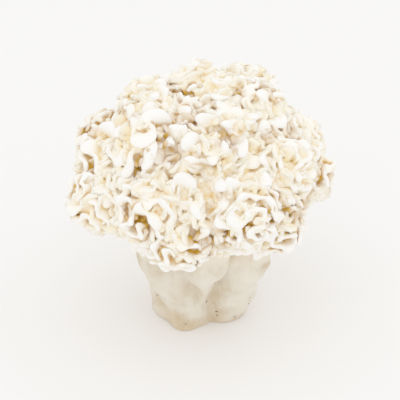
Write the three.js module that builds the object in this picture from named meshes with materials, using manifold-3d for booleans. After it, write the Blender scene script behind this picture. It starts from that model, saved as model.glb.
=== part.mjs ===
// A cauliflower mushroom, cut at its base and standing on the cut face.
// It grew as one piece, so it is one solid: a stout fluted stem that spreads into a dense
// head of wavy, leaf-like lobes standing on edge. Millimetres, +Z up, with the origin in
// the middle of the head's outline, on the plane of the cut face.
import * as THREE from "three";
import { mergeVertices } from "three/addons/utils/BufferGeometryUtils.js";
import Module from "manifold-3d";

const wasm = await Module();
wasm.setup();

// ---- Driving dimensions ----
const headWidth = 92; // along X, to the lobes' outer edges
const headDepth = 84; // along Y
const totalHeight = 84; // cut face to crown
const headCentreZ = 50; // the point that the lobes fan out from
const headUnderside = 22; // how far the head would reach below its centre
const coreShare = 0.76; // where the solid flesh ends and the lobes stand free
const cutRadius = 13.2; // cut face of the stem
const throatRadius = 24; // stem where it meets the lowest lobes
const topRadius = 29; // stem inside the head
const fluteCount = 8; // folds between the main branches
const fluteDepth = 4;
const lobeCount = 62;
const lobeWidth = 19; // along the outer edge of one lobe
const lobeThickness = 2.4;
const lobeWave = 3.2; // how far a lobe swings to each side
const lipRoll = 3; // how far its edge then rolls over
const lowestLobe = THREE.MathUtils.degToRad(119); // from straight up

const goldenAngle = Math.PI * (3 - Math.sqrt(5));
const headCentre = new THREE.Vector3(0, 0, headCentreZ);

// ---- The head's outline ----

// Distance from the head's centre to the lobes' outer edges, along a unit direction:
// an ellipsoid, flatter below, with broad low swellings.
function headRadius(direction) {
  const { x, y, z } = direction;
  const halfHeight = z > 0 ? totalHeight - headCentreZ : headUnderside;
  const ellipsoid = 1 / Math.hypot(x / (headWidth / 2), y / (headDepth / 2), z / halfHeight);
  const swelling =
    Math.cos(5.7 * x + 0.3) * Math.cos(5.9 * y - 0.3) + 0.4 * Math.sin(5.3 * y + 2.6 * z + 0.8);
  return ellipsoid * (0.965 + 0.035 * swelling);
}

function outwards(direction, share) {
  return headCentre.clone().addScaledVector(direction, share * headRadius(direction));
}

// ---- Closed meshes ----

// A closed mesh from rings of points that run round and up, capped at both ends.
function ringedMesh(rings, bottomPoint, topPoint) {
  const across = rings[0].length;
  const points = [...rings.flat(), bottomPoint, topPoint];
  const [bottom, top] = [points.length - 2, points.length - 1];
  const index = [];
  for (let i = 0; i < across; i++) {
    const j = (i + 1) % across;
    index.push(bottom, j, i);
    for (let k = 0; k + 1 < rings.length; k++) {
      const [a, b] = [k * across + i, k * across + j];
      index.push(a, b, b + across, a, b + across, a + across);
    }
    const last = (rings.length - 1) * across;
    index.push(last + i, last + j, top);
  }
  return new THREE.BufferGeometry().setFromPoints(points).setIndex(index);
}

// A closed mesh from flat loops that run there and back, capped by quads across the loop.
function loftedMesh(rings) {
  const round = rings[0].length;
  const index = [];
  for (let k = 0; k + 1 < rings.length; k++)
    for (let i = 0; i < round; i++) {
      const [a, b] = [k * round + i, k * round + ((i + 1) % round)];
      index.push(a, b + round, b, a, a + round, b + round);
    }
  const top = (rings.length - 1) * round;
  for (let i = 0; i + 1 < round / 2; i++) {
    const [a, b, c, d] = [i, i + 1, round - 2 - i, round - 1 - i];
    index.push(a, b, c, a, c, d);
    index.push(top + a, top + c, top + b, top + a, top + d, top + c);
  }
  return new THREE.BufferGeometry().setFromPoints(rings.flat()).setIndex(index);
}

// Makes a closed three.js geometry a solid that can be joined.
function solidOf(geometry) {
  const bare = new THREE.BufferGeometry()
    .setAttribute("position", geometry.getAttribute("position"))
    .setIndex(geometry.index);
  const merged = mergeVertices(bare, 1e-4);
  return new wasm.Manifold(
    new wasm.Mesh({
      numProp: 3,
      vertProperties: merged.attributes.position.array,
      triVerts: new Uint32Array(merged.index.array),
    }),
  );
}

// ---- Stem ----

// The stem widens all the way up, isn't quite round, has a folded foot, and its flutes
// deepen upwards, where the main branches part from each other.
function stemRadius(height, angle) {
  const { smoothstep } = THREE.MathUtils;
  const spread =
    cutRadius +
    (throatRadius - cutRadius) * smoothstep(height, -4, 40) +
    (topRadius - throatRadius) * smoothstep(height, 34, 47);
  const oval = 0.07 * Math.cos(2 * angle + 0.6 + height / 26) + 0.05 * Math.cos(3 * angle + 1.9 + height / 18);
  const folds = 0.07 * (1 - smoothstep(height, -2, 16)) * Math.cos(5 * angle + 0.8 * Math.sin(2 * angle));
  const flute = (0.5 + 0.5 * Math.cos(fluteCount * angle + 1.2 * Math.sin(height / 12))) ** 3;
  return spread * (1 + oval) * (1 + folds) - fluteDepth * smoothstep(height, -12, 34) * flute;
}

function stem() {
  const ringCount = 13;
  const pointsRound = 56;
  const lean = 1.6; // the stem leans a little as it rises
  const rings = Array.from({ length: ringCount }, (_, k) => {
    const z = (headCentreZ * k) / (ringCount - 1);
    return Array.from({ length: pointsRound }, (_, i) => {
      const angle = (2 * Math.PI * i) / pointsRound;
      const r = stemRadius(z, angle);
      return new THREE.Vector3(r * Math.cos(angle) + (lean * z) / headCentreZ, r * Math.sin(angle), z);
    });
  });
  return ringedMesh(rings, new THREE.Vector3(0, 0, 0), new THREE.Vector3(lean, 0, headCentreZ + 1));
}

// ---- Solid flesh under the lobes ----

function core() {
  const ringCount = 10;
  const pointsRound = 30;
  const direction = (polar, angle) =>
    new THREE.Vector3().setFromSphericalCoords(1, polar, angle).applyEuler(new THREE.Euler(Math.PI / 2, 0, 0));
  const rings = Array.from({ length: ringCount }, (_, k) => {
    const polar = Math.PI * (1 - (k + 0.6) / ringCount);
    return Array.from({ length: pointsRound }, (_, i) =>
      outwards(direction(polar, (2 * Math.PI * i) / pointsRound), coreShare),
    );
  });
  return ringedMesh(
    rings,
    outwards(new THREE.Vector3(0, 0, -1), coreShare),
    outwards(new THREE.Vector3(0, 0, 1), coreShare),
  );
}

// ---- Lobes ----

// One lobe is a fan standing on edge: narrow at its root inside the core, wide and wavy at
// its outer edge, thinner there, and rolled over to one side and then to the other. It is
// walked round as a closed ring at each level.
const lobeLevels = [
  { share: coreShare - 0.1, width: 0.6, wave: 0.3, thickness: 1.2, roll: 0 },
  { share: 0.9, width: 0.88, wave: 0.75, thickness: 1, roll: 0 },
  { share: 1, width: 1, wave: 1, thickness: 0.85, roll: 0.35 },
  { share: 1.03, width: 1.03, wave: 1, thickness: 0.7, roll: 1 },
];

function lobe(number) {
  const polar = Math.acos(1 - ((number + 0.5) / lobeCount) * (1 - Math.cos(lowestLobe)));
  const middle = new THREE.Vector3(
    Math.sin(polar) * Math.cos(number * goldenAngle),
    Math.sin(polar) * Math.sin(number * goldenAngle),
    Math.cos(polar),
  );
  const side = Math.abs(middle.z) > 0.9 ? new THREE.Vector3(1, 0, 0) : new THREE.Vector3(0, 0, 1);
  const along = side.cross(middle).normalize().applyAxisAngle(middle, number * 2.1);
  const normal = middle.clone().cross(along);
  const steps = 5;
  const tip = 1 - 0.05 * Math.abs(Math.sin(number * 1.7)); // not every lobe reaches the outline
  const rings = lobeLevels.map(({ share, width, wave, thickness, roll }) => {
    const across = (u, side) => {
      const swing = lobeWave * wave * Math.sin(u * 4.6 + number) + lipRoll * roll * Math.sin(u * 3.1 + 2 * number);
      const half = (side * lobeThickness * thickness) / 2;
      const bent = middle
        .clone()
        .multiplyScalar(headRadius(middle))
        .addScaledVector(along, (u * width * lobeWidth) / 2)
        .addScaledVector(normal, swing + half)
        .normalize();
      return outwards(bent, share * tip * (1 - 0.05 * u * u));
    };
    const there = Array.from({ length: steps + 1 }, (_, i) => across((2 * i) / steps - 1, 1));
    const back = Array.from({ length: steps + 1 }, (_, i) => across(1 - (2 * i) / steps, -1));
    return [...back, ...there];
  });
  return loftedMesh(rings);
}

// ---- One body ----

let body = solidOf(stem()).add(solidOf(core()));
for (let number = 0; number < lobeCount; number++) body = body.add(solidOf(lobe(number)));
// Pockets shut in where lobes meet are flesh too, so only the outermost surface is kept.
body = body.decompose().reduce((most, piece) => (piece.volume() > most.volume() ? piece : most));

// The outline is centred on the origin, stands on z = 0 and has exactly the driving size.
const { min, max } = body.boundingBox();
const size = [headWidth, headDepth, totalHeight];
const scale = size.map((wanted, i) => wanted / (max[i] - min[i]));
const centre = [(min[0] + max[0]) / 2, (min[1] + max[1]) / 2, min[2]];
const placed = body.translate(centre.map((c) => -c)).scale(scale);

const { vertProperties, triVerts } = placed.getMesh();
const geometry = new THREE.BufferGeometry()
  .setAttribute("position", new THREE.BufferAttribute(new Float32Array(vertProperties), 3))
  .setIndex(new THREE.BufferAttribute(new Uint32Array(triVerts), 1));
geometry.computeVertexNormals();

const flesh = new THREE.MeshStandardMaterial({ color: 0xf3e6cc, roughness: 0.6, metalness: 0 });
const mushroom = new THREE.Mesh(geometry, flesh);
mushroom.name = "cauliflower_mushroom";

const part = new THREE.Group();
part.add(mushroom);
export default part;
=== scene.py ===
import math
from functools import partial

import bmesh
import bpy
import numpy as np
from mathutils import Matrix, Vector


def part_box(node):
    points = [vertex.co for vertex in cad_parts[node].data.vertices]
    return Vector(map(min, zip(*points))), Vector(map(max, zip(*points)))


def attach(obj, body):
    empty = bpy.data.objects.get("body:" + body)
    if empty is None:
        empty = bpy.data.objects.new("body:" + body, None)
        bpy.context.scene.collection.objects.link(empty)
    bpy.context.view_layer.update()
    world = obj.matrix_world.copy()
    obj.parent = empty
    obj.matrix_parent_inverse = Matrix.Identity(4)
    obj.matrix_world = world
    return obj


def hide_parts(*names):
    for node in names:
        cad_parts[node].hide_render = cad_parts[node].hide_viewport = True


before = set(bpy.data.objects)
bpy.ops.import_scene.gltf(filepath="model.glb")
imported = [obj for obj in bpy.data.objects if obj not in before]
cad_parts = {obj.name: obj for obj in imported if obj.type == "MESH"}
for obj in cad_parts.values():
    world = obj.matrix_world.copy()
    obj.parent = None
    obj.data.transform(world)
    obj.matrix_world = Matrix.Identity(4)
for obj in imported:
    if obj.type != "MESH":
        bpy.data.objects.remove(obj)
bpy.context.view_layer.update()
mm = 0.001
metre = 1000                  # mm
nodeName = "cauliflower_mushroom"
boxLow, boxHigh = (np.array(corner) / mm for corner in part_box(nodeName))
print("frame loaded, box in mm", np.round(boxHigh - boxLow, 1))


def linear(hexColour):
    # sRGB hex to the linear colour that Blender works in
    parts = [int(hexColour[i:i + 2], 16) / 255 for i in (1, 3, 5)]
    return [*(p / 12.92 if p <= 0.04045 else ((p + 0.055) / 1.055) ** 2.4 for p in parts), 1]


def addNode(tree, kind, values):
    # a value is a setting, an input's own value, or the node, socket or list of them that feeds it
    node = tree.nodes.new(kind)
    for name, value in values.items():
        sources = value if isinstance(value, list) else [value]
        if isinstance(sources[0], (bpy.types.Node, bpy.types.NodeSocket)):
            for source in sources:
                tree.links.new(getattr(source, "outputs", [source])[0], node.inputs[name])
        elif isinstance(name, str) and hasattr(node, name):
            setattr(node, name, value)
        else:
            node.inputs[name].default_value = value
    return node


def addObject(name, data):
    made = bpy.data.objects.new(name, data)
    bpy.context.scene.collection.objects.link(made)
    return made


def meshOf(name, points, faces):
    # from points in mm
    mesh = bpy.data.meshes.new(name)
    mesh.from_pydata((points * mm).tolist(), [], faces)
    return mesh


def keepOnPoints(mesh, label, values):
    attribute = mesh.attributes.new(label, "FLOAT", "POINT")
    attribute.data.foreach_set("value", values.astype(np.float32).ravel())


def setBakeMap(mesh, places):
    # the map that the materials can be baked through, from a place for each corner of each face
    layer = mesh.uv_layers.get("OFBake") or mesh.uv_layers.new(name="OFBake")
    layer.uv.foreach_set("vector", places.astype(np.float32).ravel())


def cornerPoints(mesh):
    corner = np.empty(len(mesh.loops), np.int32)
    mesh.loops.foreach_get("vertex_index", corner)
    return corner


def facesOutward(mesh):
    # also drops points that belong to no face
    builder = bmesh.new()
    builder.from_mesh(mesh)
    loose = [vertex for vertex in builder.verts if not vertex.link_faces]
    bmesh.ops.delete(builder, geom=loose, context="VERTS")
    bmesh.ops.recalc_face_normals(builder, faces=builder.faces)
    builder.to_mesh(mesh)
    builder.free()


def unit(vectors):
    return vectors / np.maximum(np.linalg.norm(vectors, axis=-1, keepdims=True), 1e-9)


def smoothstep(x, low, high):
    t = np.clip((x - low) / (high - low), 0, 1)
    return t * t * (3 - 2 * t)


def smoothed(values, width, axis=0):
    # Gaussian smoothing along one axis, with the end values held
    reach = max(1, int(3 * width))
    weights = np.exp(-0.5 * (np.arange(-reach, reach + 1) / width) ** 2)
    weights /= weights.sum()
    padding = [(0, 0)] * values.ndim
    padding[axis] = (reach, reach)
    padded = np.pad(values, padding, mode="edge")
    length = values.shape[axis]
    pieces = [np.take(padded, range(k, k + length), axis=axis) * w for k, w in enumerate(weights)]
    return np.sum(pieces, axis=0)


def distances(points):
    # of each point from the first, along the line through them
    return np.concatenate([[0], np.cumsum(np.linalg.norm(np.diff(points, axis=0), axis=1))])


def spreadOnDome(count, lowest):
    # unit directions spread evenly from straight up down to the lowest polar angle
    index = np.arange(count)
    up = 1 - (index + 0.5) / count * (1 - math.cos(lowest))
    turn = index * math.pi * (3 - math.sqrt(5))
    flat = np.sqrt(1 - up ** 2)
    return np.stack([flat * np.cos(turn), flat * np.sin(turn), up], axis=1)


# The head's outline, which the ribbons, the flesh between them and the lower fringe keep to.
head = {
    "centreHeight": 50.0,     # mm above the cut face
    "underside": 22.0,        # mm that the outline would reach below the centre
    "floretCount": 26,        # clumps that stand out from the head
    "floretDepth": 0.15,      # how deep the creases between clumps are, as a share of the radius
    "floretUneven": 0.05,
    "floretJitter": 0.09,     # how far clumps stand from an even spread
    "floretEdge": 0.16,       # the smaller, the sharper two clumps part
    "creaseRise": 0.085,      # how soon a clump rises from its crease
    "lowest": math.radians(119),
    "seed": 11,
}
headRandom = np.random.RandomState(head["seed"])
floretCentres = unit(spreadOnDome(head["floretCount"], head["lowest"])
                     + headRandom.normal(0, head["floretJitter"], (head["floretCount"], 3)))
floretRise = headRandom.uniform(-1, 1, head["floretCount"]) * head["floretUneven"]
halfSize = (boxHigh - boxLow) / 2
headCentre = np.array([0, 0, head["centreHeight"]])
crown = boxHigh[2] - head["centreHeight"]


def outline(directions):
    # distance from the head's centre to the outer edges, along unit directions
    tall = np.where(directions[..., 2] > 0, crown, head["underside"])
    ellipsoid = 1 / np.sqrt((directions[..., 0] / halfSize[0]) ** 2
                            + (directions[..., 1] / halfSize[1]) ** 2
                            + (directions[..., 2] / tall) ** 2)
    apart = np.arccos(np.clip(directions @ floretCentres.T, -1, 1))
    sharp = np.exp(-(apart / head["floretEdge"]) ** 2) + 1e-9
    nearest = -np.log(sharp.sum(-1)) * head["floretEdge"] ** 2
    rise = (sharp * floretRise).sum(-1) / sharp.sum(-1)
    crease = np.clip(nearest / head["creaseRise"], 0, 1)
    return ellipsoid * (1 + rise - head["floretDepth"] * crease)


lobeSizes = {
    "broadest": (-0.46, -0.55, 0.62),     # the way to the shoulder with the broadest lobes
    "reach": 0.48,            # radians, how far round it they are broad
    "broaderThere": 0.5,
    "broaderOnTop": 0.25,
    "finerBelow": 0.17,
    "uneven": 0.13,
}


def lobeScale(directions):
    # how broad the lobes are, place by place, where 1 is the usual breadth
    broadest = unit(np.array(lobeSizes["broadest"]))
    apart = np.arccos(np.clip(directions @ broadest, -1, 1))
    x, y, z = directions[..., 0], directions[..., 1], directions[..., 2]
    uneven = np.sin(5.1 * x + 1.7) * np.cos(4.3 * y + 3.9 * z)
    there = lobeSizes["broaderThere"] * np.exp(-(apart / lobeSizes["reach"]) ** 2)
    broader = there + lobeSizes["broaderOnTop"] * smoothstep(z, 0.25, 0.7)
    finer = lobeSizes["finerBelow"] * smoothstep(-z, -0.3, 0.15)
    return 1 + broader - finer + lobeSizes["uneven"] * uneven


def lowestPolar(directions):
    # the head's lower fringe isn't level all round
    turn = np.arctan2(directions[..., 1], directions[..., 0])
    return head["lowest"] + 0.07 * np.sin(3 * turn + 1) + 0.05 * np.sin(5 * turn)


growth = {
    "ribbons": 50,
    "startShare": 0.42,       # of the outline, where the ribbons start
    "gap": 3.7,               # mm between ribbons
    "link": 0.9,              # mm between the points of a ribbon
    "steps": 420,
    "rows": 15,               # saved on the way out
    "push": 0.4,
    "pull": 0.35,
    "straighten": 0.22,
    "rate": 0.05,             # chance at each step that a free stretch takes another point
    "pressure": 0.7,          # crowding at which a ribbon stops getting longer
    "emptyShare": 0.74,       # an empty patch wider than this many gaps starts a new ribbon
    "longestLink": 1.7,       # links, past which a stretch takes another point at once
    "lookouts": 1400,         # places on the dome that are watched for an empty patch
    "lookEvery": 6,           # steps
    "lastStart": 20,          # steps before the end, after which no ribbon starts
    "startLength": 0.26,      # of the radius, a first ribbon's length
    "startPoints": 6,
    "pairReach": 1.8,         # gaps, within which two points are watched
    "pairsEvery": 4,          # steps
    "wishedGap": 1.05,        # gaps that two ribbons try to keep
    "ownGap": 0.75,           # of the length between them, that two points of a ribbon try to keep
    "stepLimit": 0.5,         # links that a point moves at most
    "springBack": 0.15,       # of how far a point went past the lower fringe
    "seed": 5,
}


def startRibbons(random):
    directions, along, ribbon = [], [], []
    for i, middle in enumerate(spreadOnDome(growth["ribbons"], head["lowest"] * 0.95)):
        side = np.array([1.0, 0, 0]) if abs(middle[2]) > 0.9 else np.array([0, 0, 1.0])
        across = unit(np.cross(side, middle))
        turn = random.uniform(0, math.pi)
        if middle[2] < 0.2:
            turn = random.uniform(-0.7, 0.7)      # the lowest ribbons run round the head
        heading = across * math.cos(turn) + np.cross(middle, across) * math.sin(turn)
        places = np.linspace(-0.5, 0.5, growth["startPoints"]) * growth["startLength"]
        noise = random.normal(0, 0.01, (growth["startPoints"], 3))
        directions.append(unit(middle + places[:, None] * heading + noise))
        along.append(np.linspace(0, 1, growth["startPoints"]))
        ribbon.append(np.full(growth["startPoints"], i))
    return np.concatenate(directions), np.concatenate(along), np.concatenate(ribbon)


def closePairs(directions, ribbon, angle):
    # points nearer than the given angle, apart from those next to each other on one ribbon
    first, second = [], []
    block = 1200              # compared at a time, to save memory
    for start in range(0, len(directions), block):
        near = directions[start:start + block] @ directions.T > math.cos(angle)
        i, j = np.nonzero(near)
        i += start
        keep = (i < j) & ~((ribbon[i] == ribbon[j]) & (j - i <= 2))
        first.append(i[keep])
        second.append(j[keep])
    return np.concatenate(first), np.concatenate(second)


def growRibbons():
    # Ribbons lengthen and push one another aside while the dome that they lie on swells.
    random = np.random.RandomState(growth["seed"])
    directions, along, ribbon = startRibbons(random)
    link, gap, steps = growth["link"], growth["gap"], growth["steps"]
    radius = (halfSize[0] + halfSize[1] + crown) / 3
    saveAt = {round(steps * k / (growth["rows"] - 1)) for k in range(growth["rows"])}
    saved = []
    pressure = np.zeros(len(directions))
    pairs = None
    lookouts = spreadOnDome(growth["lookouts"], head["lowest"])
    lookouts = lookouts[np.arccos(lookouts[:, 2]) < lowestPolar(lookouts) - 0.05]
    lookoutGap = gap * lobeScale(lookouts) * growth["emptyShare"]
    for step in range(steps + 1):
        done = step / steps
        share = growth["startShare"] + (1 - growth["startShare"]) * done
        if step in saveAt:
            saved.append((share, directions.copy(), along.copy(), ribbon.copy()))
        reach = share * outline(directions)
        same = ribbon[1:] == ribbon[:-1]
        points = directions * reach[:, None]
        lengths = np.linalg.norm(points[1:] - points[:-1], axis=1)
        ease = np.clip(1 - (pressure[1:] + pressure[:-1]) / 2 / growth["pressure"], 0, 1)
        split = random.uniform(0, 1, len(ease)) < growth["rate"] * ease
        picked = np.nonzero(same & (split | (lengths > growth["longestLink"] * link)))[0]
        if len(picked):
            between = unit(directions[picked] + directions[picked + 1])
            directions = np.insert(directions, picked + 1, between, axis=0)
            along = np.insert(along, picked + 1, (along[picked] + along[picked + 1]) / 2)
            ribbon = np.insert(ribbon, picked + 1, ribbon[picked])
            pairs = None
        if step % growth["lookEvery"] == 0 and step < steps - growth["lastStart"]:
            # where the dome has an empty patch, a young ribbon starts
            nearest = np.arccos(np.clip((lookouts @ directions.T).max(axis=1), -1, 1))
            empty = nearest * share * outline(lookouts) / lookoutGap
            if empty.max() > 1:
                middle = lookouts[int(np.argmax(empty))]
                heading = unit(np.cross(middle, random.normal(0, 1, 3)))
                places = np.linspace(-1.6, 1.6, 5)[:, None] * link / (share * radius)
                directions = np.concatenate([directions, unit(middle + places * heading)])
                along = np.concatenate([along, np.linspace(0, 1, 5)])
                ribbon = np.concatenate([ribbon, np.full(5, ribbon.max() + 1)])
                pairs = None
        reach = share * outline(directions)
        points = directions * reach[:, None]
        same = ribbon[1:] == ribbon[:-1]
        if pairs is None or step % growth["pairsEvery"] == 0:
            angle = growth["pairReach"] * gap / reach.min()
            pairs = closePairs(directions.astype(np.float32), ribbon, angle)
        i, j = pairs
        scale = lobeScale(directions)
        apart = points[i] - points[j]
        distance = np.linalg.norm(apart, axis=1) + 1e-9
        wish = gap * growth["wishedGap"] * (scale[i] + scale[j]) / 2
        ownWish = np.minimum(wish, (j - i) * link * growth["ownGap"])
        wish = np.where(ribbon[i] == ribbon[j], ownWish, wish)
        squeeze = np.clip(1 - distance / wish, 0, 1)
        strength = (squeeze + 3 * squeeze ** 3) * growth["push"] * gap / 2
        force = apart / distance[:, None] * strength[:, None]
        count = len(points)
        move = np.stack([np.bincount(i, force[:, k], count) - np.bincount(j, force[:, k], count)
                         for k in range(3)], axis=1)
        touching = np.bincount(i, squeeze > 0, count) + np.bincount(j, squeeze > 0, count)
        pressure = np.bincount(i, squeeze, count) + np.bincount(j, squeeze, count)
        move /= np.sqrt(np.maximum(touching, 1))[:, None]
        edges = points[1:] - points[:-1]
        lengths = np.linalg.norm(edges, axis=1) + 1e-9
        tension = np.where(same, (lengths - link) / lengths * growth["pull"], 0)[:, None] * edges
        move[:-1] += tension
        move[1:] -= tension
        inner = (same[1:] & same[:-1])[:, None]
        move[1:-1] += inner * growth["straighten"] * ((points[2:] + points[:-2]) / 2 - points[1:-1])
        size = np.linalg.norm(move, axis=1, keepdims=True)
        points += move * np.minimum(1, growth["stepLimit"] * link / np.maximum(size, 1e-9))
        directions = unit(points)
        polar = np.arccos(np.clip(directions[:, 2], -1, 1))
        turn = np.arctan2(directions[:, 1], directions[:, 0])
        lowest = lowestPolar(directions)
        polar = np.minimum(polar, lowest - growth["springBack"] * (polar - lowest))
        flat = np.sin(polar)
        directions = np.stack([flat * np.cos(turn), flat * np.sin(turn), np.cos(polar)], axis=1)
    return saved


saved = growRibbons()
print("ribbons grown,", len(saved[-1][1]), "points in the last row")


lobe = {
    "columnStep": 0.6,        # mm between columns of the mesh, along the outer edge
    "rootShare": 0.5,         # of the outline, where a lobe leaves the flesh
    "stemRows": 9,            # rows from the root to the rolled lip
    "curl": 2.4,              # radians that a lip turns over where the ribbon bends most
    "rollRadius": 1.3,        # mm, the tightest that a lip rolls
    "petal": 4.8,             # mm of edge that rolls over to one side before the next to the other
    "fan": 0.5,               # mm that a petal spreads at its edge, each way
    "shortLip": 1.8,          # mm of lip where a ribbon runs straight
    "roomShare": 1.42,        # of the free width beside a ribbon, the length of the lip that covers it
    "insideShare": 0.9,       # of a bend's radius, the free width on its inner side
    "bendRadius": 2.6,        # mm, of a bend whose lip rolls over fully
    "frill": 0.15,            # mm that the edge waves to each side
    "frillLength": 2.4,       # mm from wave to wave
    "notch": 1.0,             # mm that the edge dips where a ribbon runs straight
    "paceNoise": 0.3,         # how much the petals differ in length
    "snap": 1.8,              # how quickly the roll passes from one side to the other
    "bendPull": 0.5,          # how much a bend decides the side
    "sideNoise": 0.2,
    "lipNoise": 0.12,
    "dipNoise": 0.5,          # mm
    "rootThickness": 1.7,
    "lipThickness": 1.4,
    "undulation": 0.00025,    # m that a whole lobe undulates
    "undulationSize": 0.003,  # m
    "coverShadeStart": 0.0002,     # m off the surface, from where the lobe above is felt for, for the painted shade under it
    "coverShadeReach": 0.005,      # m, flesh under another lobe closer than this counts as covered and gets painted shade
    "coverShadeDepth": 2.4,        # mm that a wholly covered place counts as deeper, as painted shade
    "clusters": 5,            # sectors of the head, each one piece of mesh
    "seed": 8,
}
# where a lip's rows lie, from where it begins to its rim, closer together towards the rim
lipPlaces = np.array([0, 0.13, 0.26, 0.39, 0.52, 0.64, 0.75, 0.84, 0.91, 0.96, 0.985, 1])
fineSteps = 40                # along a rolled lip, when its curve is summed up


def wander(random, count, step, length):
    # smooth noise of about unit size along a ribbon, with features of the given length in mm
    width = max(length / step / 2.5, 0.6)
    return smoothed(random.normal(0, 1, count), width) * math.sqrt(2 * math.sqrt(math.pi) * width)


def ribbonRows(number):
    # one ribbon's direction at each saved row, at the same material points of its edge
    share, directions, along, ribbon = saved[-1]
    own = ribbon == number
    edge = directions[own] * outline(directions[own])[:, None]
    length = distances(edge)
    count = max(int(length[-1] / lobe["columnStep"]), 8)
    places = np.interp(np.linspace(0, length[-1], count), length, along[own])
    rows = []
    for share, directions, along, ribbon in saved:
        own = ribbon == number
        if not own.any():
            rows.append(None)         # not started yet at this size
            continue
        row = [np.interp(places, along[own], directions[own][:, k]) for k in range(3)]
        rows.append(unit(smoothed(np.stack(row, axis=1), 1.6)))
    first = next(row for row in rows if row is not None)
    return np.array([first if row is None else row for row in rows]), length[-1]


savedShares = np.array([s[0] for s in saved])


def pointsAt(rows, share):
    # points of a ribbon at the given shares of the outline, one for each column
    place = (share - savedShares[0]) / (savedShares[1] - savedShares[0])
    place = np.clip(place, 0, len(savedShares) - 1.001)
    lower = place.astype(int)
    rest = (place - lower)[:, None]
    column = np.arange(rows.shape[1])
    direction = unit(rows[lower, column] * (1 - rest) + rows[lower + 1, column] * rest)
    return direction * (share * outline(direction))[:, None]


def ribbonEdge(number):
    # where a ribbon's lip begins, and the way that it heads there
    rows, length = ribbonRows(number)
    count = rows.shape[1]
    edge = pointsAt(rows, np.full(count, 0.95))
    heading = unit(smoothed(np.gradient(edge, axis=0), 1.5))
    return {"rows": rows, "step": length / (count - 1), "edge": edge, "heading": heading,
            "sideways": unit(np.cross(heading, unit(edge))), "number": number}


beside = {
    "ownStretch": 3.5,        # mm of the ribbon itself that don't count as a neighbour
    "ahead": 1.8,             # mm ahead or behind that still count as beside
    "nearest": 0.8,           # mm
    "farthest": 9,
    "free": 7,                # mm, where nothing stands beside
}


def measureRoom(ribbons):
    # the free width beside each ribbon's edge, on either side, up to the next ribbon
    targets = np.concatenate([r["edge"][::2] for r in ribbons])
    owner = np.concatenate([np.full(len(r["edge"][::2]), r["number"]) for r in ribbons])
    place = np.concatenate([np.arange(len(r["edge"]))[::2] * r["step"] for r in ribbons])
    for r in ribbons:
        apart = targets[None, :, :] - r["edge"][:, None, :]
        across = (apart * r["sideways"][:, None, :]).sum(2)
        along = (apart * r["heading"][:, None, :]).sum(2)
        ownPlace = (np.arange(len(r["edge"])) * r["step"])[:, None]
        own = (owner[None, :] == r["number"]) & (np.abs(place[None, :] - ownPlace) < beside["ownStretch"])
        close = np.linalg.norm(apart, axis=2) < beside["farthest"]
        counted = (np.abs(along) < beside["ahead"]) & close & ~own
        r["room"] = []
        for way in (1, -1):
            free = np.where(counted & (way * across > beside["nearest"]), way * across, beside["free"])
            r["room"].append(smoothed(free.min(axis=1), 1.5))


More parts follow.
